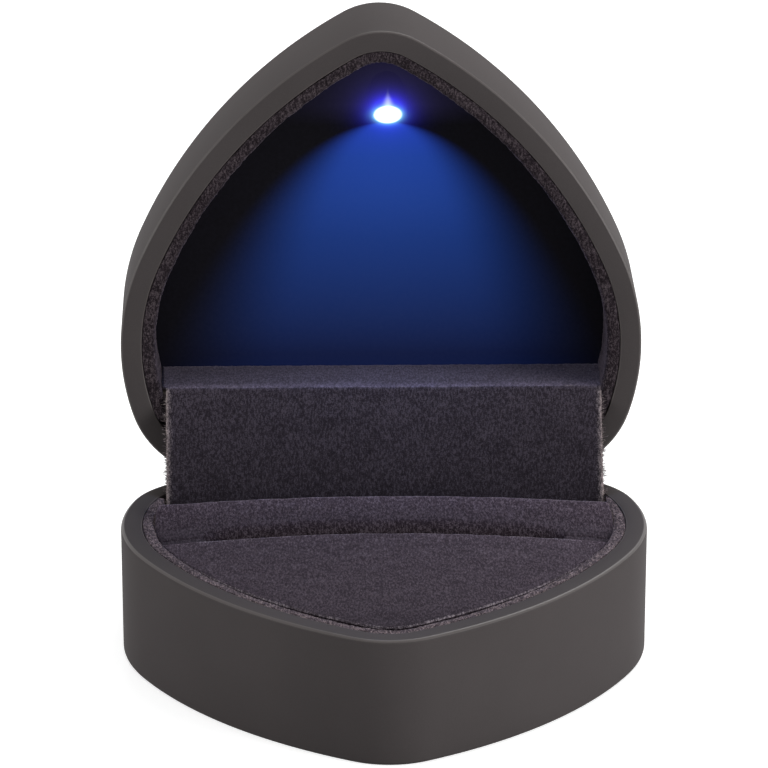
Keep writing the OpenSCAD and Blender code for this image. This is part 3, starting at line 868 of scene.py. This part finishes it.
def make_liner(name, deep, place, sign, passes_flap):
    """Strip from one side of the flap round the tip to the other, its bead rounded off at both ends."""
    section = liner_section(deep)
    middle = (BEAD_OUT + LINER_IN) / 2
    side = side_headings(PILE_STEP, BEAD_END)
    headings = [-t for t in reversed(side[1:])] + side
    points = []
    for t in headings:
        left_to_end = (BEAD_END - abs(t)) * math.radians(1) * (ARC_R[3] - middle)
        share = min(1.0, left_to_end / BEAD_END_LENGTH)
        full = math.sqrt(max(0.0, 1 - (1 - share) ** 2))
        thin = BEAD_END_SHARE + (1 - BEAD_END_SHARE) * full
        slim = BEAD_SLIM * max(0.0, 1 - abs(t) / BEAD_FULL_FROM)
        flap_side = FLAP_HALF + math.copysign(FLAP_SHIFT, t) + FLAP_PASS_ROOM
        for inset, depth in section:
            inset -= slim * max(0.0, inset - BEAD_OUT) / (LINER_IN - BEAD_OUT)
            q = outline_point(abs(t), middle + (inset - middle) * thin)
            depth = depth if depth > BEAD_REACH else BEAD_MIDDLE + (depth - BEAD_MIDDLE) * thin
            x = max(q[0], flap_side) if passes_flap and -q[1] < FLAP_PASS_BACK else q[0]
            points.append((math.copysign(x, t) if t else 0.0, q[1], sign * depth))
    size = len(section)
    faces = skin_loops(len(headings), size)
    faces.append(tuple(range(size)))
    faces.append(tuple(range(len(points) - 1, len(points) - size - 1, -1)))
    return make_mesh(name, points, faces, place)


base_liner = make_liner("base_liner_velvet", BASE_LINER_DEPTH, to_base, -1, True)
lid_liner = make_liner("lid_liner_velvet", LID_LINER_DEPTH, to_lid, 1, False)
LININGS = [(base_liner, "base", BEAD_VELVET, 11), (lid_liner, "lid", LID_BEAD_PAINTED_SHADE, 12)]
for liner, body, pile, seed in LININGS:
    ruffle(liner, *BEAD_PILE, seed)
    smooth(liner)
    dress(liner, pile)
    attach(liner, body)
    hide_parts(body + "_liner")


# Cushion: the frame's curves, but set in less and with a tighter edge, so that its pile meets the bead

CUSHION_IN = 4.62
CUSHION_BACK = 12.9
CUSHION_CORNER = 2.4
BACK_ROLL = 1.5
EDGE_ROLL = 0.28
BACK_SWELL = 0.55
BACK_SWELL_SIDES = 0.6
CROWN = 1.6
SIDE_FALL = 1.76
TIP_FALL = 1.4
TIP_POWER = 1.2
SLOT_ROLL_FROM = 21.0
SLOT_ROLL_TO = 24.4
SLOT_FRONT = 26.1
SLOT_HALF = 24.5
SLOT_END_POWER = 8
SLOT_DEPTH = 7.0
SLOT_MIN_DEPTH = 0.15
LIP_LEAN = 0.1
LIP_ROUND = 0.45
LIP_ROWS = 10
FRONT_ROOM = 0.02
HALF_COLUMNS = 84
# Depths below the rim of the rings of points round the cushion's side, down to its underside
SIDE_DEPTHS = [2.5, 4.5, 7.0, 9.5, 12.0]
CUSHION_PILE = (0.02, 0.07)
# Where a paler sheen is painted: on the slot's front lip, along the back, and at the front part's rim
LIP_PALE = (0.02, 0.42)
LIP_PALE_PAST_END = 1
BACK_PALE = (0.55, 1.25)
BACK_PALE_DEEP = 0.4
RIM_PALE_FROM = 3
RIM_PALE_WIDE = 1.0
RIM_PALE_DEEP = 1.0
RIM_PALE_TILT = 0.1
RIM_PALE_FACING = 0.8


def crown(x, back):
    """Height of the cushion over the rim, without its slot and rounded edges."""
    across = (x / (WIDTH / 2 - CUSHION_IN)) ** 2
    to_tip = max(0.0, (back - CUSHION_BACK) / (DEPTH - CUSHION_IN - CUSHION_BACK))
    to_back = min(1.0, max(0.0, (SLOT_ROLL_FROM - back) / (SLOT_ROLL_FROM - CUSHION_BACK - BACK_ROLL)))
    swell = (BACK_SWELL + BACK_SWELL_SIDES * across) * to_back
    return CROWN - SIDE_FALL * across - TIP_FALL * to_tip ** TIP_POWER + swell


def quarter_fall(d, r):
    """How far a quarter round of radius r has fallen at distance d from the edge."""
    return 0.0 if d >= r else r - math.sqrt(max(0.0, r * r - (r - d) ** 2))


def spread(start, end):
    """Even steps from start, which is left out, to end."""
    count = max(1, math.ceil(abs(end - start) / PILE_STEP))
    return [start + (end - start) * k / count for k in range(1, count + 1)]


def quarter_turn(step):
    """Angles from one step to a right angle, with the step in degrees and the angles in radians."""
    return [math.radians(a) for a in range(step, 91, step)]


def cushion_rows():
    """Rows from the back to the tip: distance from the hinge line, and share of the slot's depth."""
    first, last = CUSHION_BACK, DEPTH - CUSHION_IN - FRONT_ROOM
    rows = [(first, 0.0)]
    rows += [(first + BACK_ROLL * (1 - math.cos(turn)), 0.0) for turn in quarter_turn(10)]
    rows += [(back, 0.0) for back in spread(first + BACK_ROLL, SLOT_ROLL_FROM)]
    for turn in quarter_turn(6):
        back = SLOT_ROLL_FROM + (SLOT_ROLL_TO - SLOT_ROLL_FROM) * math.sin(turn)
        rows.append((back, 1 - math.cos(turn)))
    rows += [(back, 1.0) for back in spread(SLOT_ROLL_TO, SLOT_FRONT - LIP_LEAN)]
    for k in range(1, LIP_ROWS + 1):
        back = SLOT_FRONT - LIP_LEAN + LIP_LEAN * k / LIP_ROWS
        rows.append((back, 1 - (1 - LIP_ROUND / SLOT_DEPTH) * k / LIP_ROWS))
    for turn in quarter_turn(15):
        back = SLOT_FRONT + LIP_ROUND * (1 - math.cos(turn))
        rows.append((back, LIP_ROUND / SLOT_DEPTH * (1 - math.sin(turn))))
    rows += [(back, 0.0) for back in spread(SLOT_FRONT + LIP_ROUND, last - EDGE_ROLL)]
    rows += [(last - EDGE_ROLL * (1 - math.sin(turn)), 0.0) for turn in quarter_turn(10)]
    return rows


def row_half(back):
    """Half width of a row, with the two back corners rounded."""
    side = half_width(back, CUSHION_IN)
    into = back - CUSHION_BACK
    if into >= CUSHION_CORNER:
        return side
    straight = half_width(CUSHION_BACK + CUSHION_CORNER, CUSHION_IN) - CUSHION_CORNER
    rounded = math.sqrt(max(0.0, CUSHION_CORNER ** 2 - (CUSHION_CORNER - into) ** 2))
    return min(side, straight + rounded)


def make_cushion():
    """Grid of points over the top, and rings of points down the side."""
    rows = cushion_rows()
    columns = 2 * HALF_COLUMNS + 1
    points = []
    for back, share in rows:
        half = row_half(back)
        end_fall = max(
            quarter_fall(back - CUSHION_BACK, BACK_ROLL),
            quarter_fall(DEPTH - CUSHION_IN - back, EDGE_ROLL),
        )
        for i in range(-HALF_COLUMNS, HALF_COLUMNS + 1):
            x = half * math.sin(math.pi / 2 * i / HALF_COLUMNS)
            fall = max(quarter_fall(half - abs(x), EDGE_ROLL), end_fall)
            run_out = 1 - min(1.0, abs(x) / SLOT_HALF) ** SLOT_END_POWER
            slot = share * (SLOT_MIN_DEPTH + (SLOT_DEPTH - SLOT_MIN_DEPTH) * run_out)
            points.append((x, -back, crown(x, back) - fall - slot))
    faces = skin_loops(len(rows), columns, closed_loop=False)
    edge = grid_edge(len(rows), columns)
    upper = edge
    for depth in SIDE_DEPTHS:
        lower = list(range(len(points), len(points) + len(edge)))
        points += [(points[k][0], points[k][1], -depth) for k in edge]
        for k in range(len(edge)):
            m = (k + 1) % len(edge)
            faces.append((upper[k], lower[k], lower[m], upper[m]))
        upper = lower
    faces.append(tuple(reversed(upper)))
    return make_mesh("cushion_velvet", points, faces, to_base)


def on_cushion_painted_sheen(p, normal):
    """Painted sheen along the back edge, the slot's front lip and the front part's rounded rim."""
    back, height = HINGE.y - p.y, p.z - HINGE.z
    top = crown(p.x, back)
    crest = top - quarter_fall(back - CUSHION_BACK, BACK_ROLL)
    on_lip = SLOT_FRONT - LIP_PALE[0] <= back <= SLOT_FRONT + LIP_PALE[1]
    on_lip = on_lip and abs(p.x) < SLOT_HALF + LIP_PALE_PAST_END
    on_back = CUSHION_BACK + BACK_PALE[0] <= back <= CUSHION_BACK + BACK_PALE[1]
    on_back = on_back and height > crest - BACK_PALE_DEEP
    on_rim = back > SLOT_FRONT + RIM_PALE_FROM and -RIM_PALE_DEEP < height - top
    on_rim = on_rim and half_width(back, CUSHION_IN) - abs(p.x) < RIM_PALE_WIDE
    tilted = RIM_PALE_TILT < abs(normal.x) + abs(normal.y) and normal.z < RIM_PALE_FACING
    return on_back or on_lip or (on_rim and tilted)


cushion = make_cushion()
ruffle(cushion, *CUSHION_PILE, 13)
smooth(cushion)
dress(cushion, CUSHION_VELVET)
cushion.data.materials.append(CUSHION_PAINTED_SHEEN)
# The cushion's edges get the painted sheen
paint(cushion, 1, on_cushion_painted_sheen)
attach(cushion, "base")
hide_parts("cushion_cover", "cushion_foam")


# Ledge and flap: one strip of velvet that runs along the ledge, over the fold and down the flap

STRIP_TOP = 11.05
LEDGE_ROWS = 29
FOLD_STEPS = 6
FOOT_ROUND = 0.3
FOOT_TURNS = (0.5, 1.0, 1.5)
STRIP_HALF_COLUMNS = 86
STRIP_PILE = (0.03, 0.05)
# The strip is as wide as the flap up to this far behind the fold, and as wide as the ledge from there
FLAP_WIDTH_TO = 0.4


def strip_section():
    """Front line of the strip across the hinge, as row places, from the panel to the flap's foot."""
    nose = FLAP_T / 2
    line = [to_lid((0, -LEDGE_FRONT, STRIP_TOP - PILE_STEP * k)) for k in range(LEDGE_ROWS)]
    start, end = to_lid((0, -LEDGE_FRONT, FLAP_AXIS[1])), to_flap((0, -nose, 0))
    centre = to_lid((0, FLAP_AXIS[0], FLAP_AXIS[1]))
    a0 = math.atan2(start.z - centre.z, start.y - centre.y)
    a1 = math.atan2(end.z - centre.z, end.y - centre.y)
    while a1 < a0:
        a1 += 2 * math.pi
    for k in range(FOLD_STEPS + 1):
        a = a0 + (a1 - a0) * k / FOLD_STEPS
        line.append(centre + Vector((0, math.cos(a), math.sin(a))) * nose * MM)
    line += [to_flap((0, -nose, -z)) for z in spread(0, FLAP_LENGTH - FOOT_ROUND)]
    for turn in FOOT_TURNS:
        y = -nose + FOOT_ROUND * (1 - math.cos(turn))
        z = -FLAP_LENGTH + FOOT_ROUND - FOOT_ROUND * math.sin(turn)
        line.append(to_flap((0, y, z)))
    return line


def make_strip():
    """Front and back of the strip as two grids of points, joined round their edge."""
    line = strip_section()
    steps = range(-STRIP_HALF_COLUMNS, STRIP_HALF_COLUMNS + 1)
    size = len(steps)

    def width_row(p):
        half = FLAP_HALF if p.y < FOLD.y + FLAP_WIDTH_TO * MM else LEDGE_HALF
        return [(FLAP_SHIFT + half * k / STRIP_HALF_COLUMNS) * MM for k in steps]

    points = [(x, p.y, p.z) for p in line for x in width_row(p)]
    # The back of the strip lies one pile thickness behind the front
    back = []
    for j, p in enumerate(line):
        a, b = line[max(0, j - 1)], line[min(len(line) - 1, j + 1)]
        along = (b - a).normalized()
        inward = Vector((0, -along.z, along.y))
        q = p + inward * PILE * MM
        back += [(x, q.y, q.z) for x in width_row(p)]
    count = len(points)
    points += back
    faces = skin_loops(len(line), size, closed_loop=False)
    faces += [tuple(count + k for k in reversed(f)) for f in faces]
    edge = grid_edge(len(line), size)
    for k in range(len(edge)):
        a, b = edge[k], edge[(k + 1) % len(edge)]
        faces.append((a, b, b + count, a + count))
    return make_mesh("ledge_and_flap_velvet", points, faces, Vector)


def on_ledge(p, _normal):
    """The strip's part behind the fold, whose sides are tucked in."""
    return p.y > FOLD.y / MM


CARD_HALF = 29.7
CARD_CORNER = 0.1


def make_flap_card():
    """Card behind the flap's velvet, rounded about the fold at its top and narrower than the velvet."""
    nose, low = FLAP_T / 2, CARD_CORNER - FLAP_LENGTH
    front = PILE - nose
    section = round_off((0, 0), nose, 0, math.degrees(math.acos(front / nose)), 8)
    section += [(front, low + CARD_CORNER), (front + CARD_CORNER, low), (nose - CARD_CORNER, low)]
    section.append((nose, low + CARD_CORNER))
    points = [(FLAP_SHIFT + x, y, z) for x in (-CARD_HALF, CARD_HALF) for y, z in section]
    return make_mesh("flap_card_board", points, capped_skin(2, len(section)), to_flap)


flap_card = make_flap_card()
smooth(flap_card, NODE_SHARP)
dress(flap_card, CARD)
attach(flap_card, "flap")
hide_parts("flap_card")

strip = make_strip()
ruffle(strip, *STRIP_PILE, 14)
smooth(strip)
dress(strip, FLAP_VELVET)
strip.data.materials.append(LEDGE_VELVET)
paint(strip, 1, on_ledge)
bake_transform(strip)
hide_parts("ledge_velvet", "flap_velvet")


# Loose fibres along the flap's cut sides

FUZZ_SEED = 21
TUFTS = 280
TUFT_HALF = 0.05
# Where tufts have their roots, in flap millimetres, and how far their tips are from there
ROOT_IN = 0.08
ROOT_Y = (-0.45, -0.1)
ROOT_Z = (-16.8, -0.5)
TUFT_OUT = 0.12
TUFT_OUT_MORE = 0.75
TUFT_DROOP = (-0.1, 0.25)
TUFT_LEAN = (-0.25, 0.25)
CLUMP_SIZE = 1.3
CLUMP_SHARE = 0.5
TUFT_FACES = [(0, 1, 3), (1, 2, 3), (2, 0, 3), (0, 2, 1)]


def tuft(points, faces, root, tip):
    """A thin tapering lock of pile from root to tip, in flap millimetres."""
    first = len(points)
    points += [
        (root[0], root[1] - TUFT_HALF, root[2]),
        (root[0], root[1] + TUFT_HALF, root[2] + TUFT_HALF),
        (root[0], root[1] + TUFT_HALF, root[2] - TUFT_HALF),
        tip,
    ]
    faces += [tuple(first + k for k in face) for face in TUFT_FACES]


def make_side_fuzz():
    """Tufts along both sides, longer and shorter in clumps."""
    rng = np.random.default_rng(FUZZ_SEED)
    points, faces = [], []
    for side in (-1, 1):
        for _ in range(TUFTS):
            x, y, z = FLAP_SHIFT + side * (FLAP_HALF - ROOT_IN), rng.uniform(*ROOT_Y), rng.uniform(*ROOT_Z)
            clump = 1 + CLUMP_SHARE * noise.noise(Vector((side, 0, z)) / CLUMP_SIZE)
            out = (TUFT_OUT + TUFT_OUT_MORE * rng.uniform() ** 2) * clump
            tip = (x + side * out, y - rng.uniform(*TUFT_DROOP), z + rng.uniform(*TUFT_LEAN))
            tuft(points, faces, (x, y, z), tip)
    return make_mesh("flap_side_fuzz", points, faces, to_flap)


side_fuzz = make_side_fuzz()
dress(side_fuzz, CUT_EDGE)
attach(side_fuzz, "flap")


# Stage: pale floor, soft light and the photograph's view

ROOM_LEVEL = 0.1
FLOOR_LIFT = 0.72
FLOOR_HALF = 6.0
FLOOR_GREY = (0.6, 0.6, 0.6, 1.0)
LIGHT_AIM = (0, 0, 0.03)
# Name, place and size in metres, and power in watts, of each soft light
LIGHTS = [
    ("right", (0.82, -0.38, 0.25), (0.5, 0.5), 8.2),
    ("left", (-0.86, -0.28, 0.25), (0.5, 0.5), 4.6),
    ("top", (0.0, -0.1, 0.9), (0.7, 0.7), 2.6),
    ("back", (0.22, 0.58, 0.69), (0.8, 0.4), 6.0),
]
LAMP_COLOUR = (0.16, 0.36, 1.0)
LAMP_POWER = 0.033
LAMP_SPREAD = 150
LAMP_OUT = 1.0
LAMP_THROW = 21.0
LAMP_SOFTNESS = 0.002
# The photograph's camera, fitted to the rims, with its place right, up and back from the hinge's middle
CAMERA_TURN = -1.14
CAMERA_RISE = 19.54
CAMERA_FOCAL = 9212
CAMERA_PLACE = (0.37, 12.68, 1278.64)
PHOTO_WIDTH = 768


def make_floor():
    """Pale floor that takes shadows, and is lit up only where it is seen."""
    mesh = bpy.data.meshes.new("floor")
    corners = [(x * FLOOR_HALF, y * FLOOR_HALF, 0) for x, y in ((-1, -1), (1, -1), (1, 1), (-1, 1))]
    mesh.from_pydata(corners, [], [(0, 1, 2, 3)])
    floor = bpy.data.objects.new("floor", mesh)
    bpy.context.scene.collection.objects.link(floor)
    g = Graph("floor_white")
    g.set(Base_Color=FLOOR_GREY, Roughness=1.0, Specular_IOR_Level=0.0)
    rays = g.node("ShaderNodeLightPath")
    seen = g.math("MAXIMUM", rays.outputs["Is Camera Ray"], rays.outputs["Is Glossy Ray"])
    seen = g.math("MAXIMUM", seen, rays.outputs["Is Transmission Ray"])
    lift = g.node("ShaderNodeEmission")
    lift.inputs["Color"].default_value = (1, 1, 1, 1)
    g.link(g.math("MULTIPLY", seen, FLOOR_LIFT), lift.inputs["Strength"])
    both = g.node("ShaderNodeAddShader")
    g.link(g.shader.outputs[0], both.inputs[0])
    g.link(lift.outputs[0], both.inputs[1])
    g.link(both.outputs[0], g.tree.nodes["Material Output"].inputs["Surface"])
    mesh.materials.append(g.material)


def make_world():
    """White for the camera and for reflections, and dim as a light."""
    world = bpy.data.worlds.new("studio")
    bpy.context.scene.world = world
    world.use_nodes = True
    tree = world.node_tree
    background = tree.nodes["Background"]
    background.inputs["Color"].default_value = (1, 1, 1, 1)
    rays = tree.nodes.new("ShaderNodeLightPath")
    seen = tree.nodes.new("ShaderNodeMath")
    seen.operation = "MAXIMUM"
    tree.links.new(rays.outputs["Is Camera Ray"], seen.inputs[0])
    tree.links.new(rays.outputs["Is Glossy Ray"], seen.inputs[1])
    level = tree.nodes.new("ShaderNodeMath")
    level.operation = "MULTIPLY_ADD"
    tree.links.new(seen.outputs[0], level.inputs[0])
    level.inputs[1].default_value = 1 - ROOM_LEVEL
    level.inputs[2].default_value = ROOM_LEVEL
    tree.links.new(level.outputs[0], background.inputs["Strength"])


def put(name, data, place, turn):
    """Object for a light or camera, with its turn as a quaternion."""
    obj = bpy.data.objects.new(name, data)
    obj.location = place
    obj.rotation_mode = "QUATERNION"
    obj.rotation_quaternion = turn
    bpy.context.scene.collection.objects.link(obj)
    return obj


def soft_light(name, place, size, power):
    light = bpy.data.lights.new(name, "AREA")
    light.shape = "RECTANGLE"
    light.size, light.size_y = size
    light.energy = power
    put(name, light, place, (Vector(LIGHT_AIM) - Vector(place)).to_track_quat("-Z", "Y"))


def lamp_light():
    """The lamp's own blue light on the velvet and the rim in front of it. It rides with the lid."""
    light = bpy.data.lights.new("lamp_light", "SPOT")
    light.color = LAMP_COLOUR
    light.energy = LAMP_POWER
    light.spot_size = math.radians(LAMP_SPREAD)
    light.spot_blend = 1.0
    light.shadow_soft_size = LAMP_SOFTNESS
    start = to_lid((LAMP[0], LAMP[1] + LAMP_OUT, LAMP[2] - LAMP_OUT))
    aim = to_lid((LAMP[0], LAMP[1] + LAMP_THROW, LAMP[2] - LAMP_THROW))
    obj = put("lamp_light", light, start, (aim - start).to_track_quat("-Z", "Y"))
    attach(obj, "lid")


def make_camera():
    """The photograph's view: turned a little and raised, with a long lens."""
    turn, rise = math.radians(CAMERA_TURN), math.radians(CAMERA_RISE)
    back = Vector((math.sin(turn) * math.cos(rise), -math.cos(turn) * math.cos(rise), math.sin(rise)))
    right = Vector((math.cos(turn), math.sin(turn), 0.0))
    up = back.cross(right)
    camera = bpy.data.cameras.new("camera")
    camera.sensor_width = 36.0
    camera.lens = CAMERA_FOCAL / PHOTO_WIDTH * camera.sensor_width
    camera.clip_start, camera.clip_end = 0.05, 20.0
    aside, above, away = CAMERA_PLACE
    place = (right * aside + up * above + back * away + HINGE) * MM
    turned = Matrix((right, up, back)).transposed().to_quaternion()
    bpy.context.scene.camera = put("camera", camera, place, turned)


make_floor()
make_world()
make_camera()
for light_name, light_place, light_size, light_power in LIGHTS:
    soft_light(light_name, light_place, light_size, light_power)
lamp_light()
bpy.context.scene.view_settings.view_transform = "Standard"
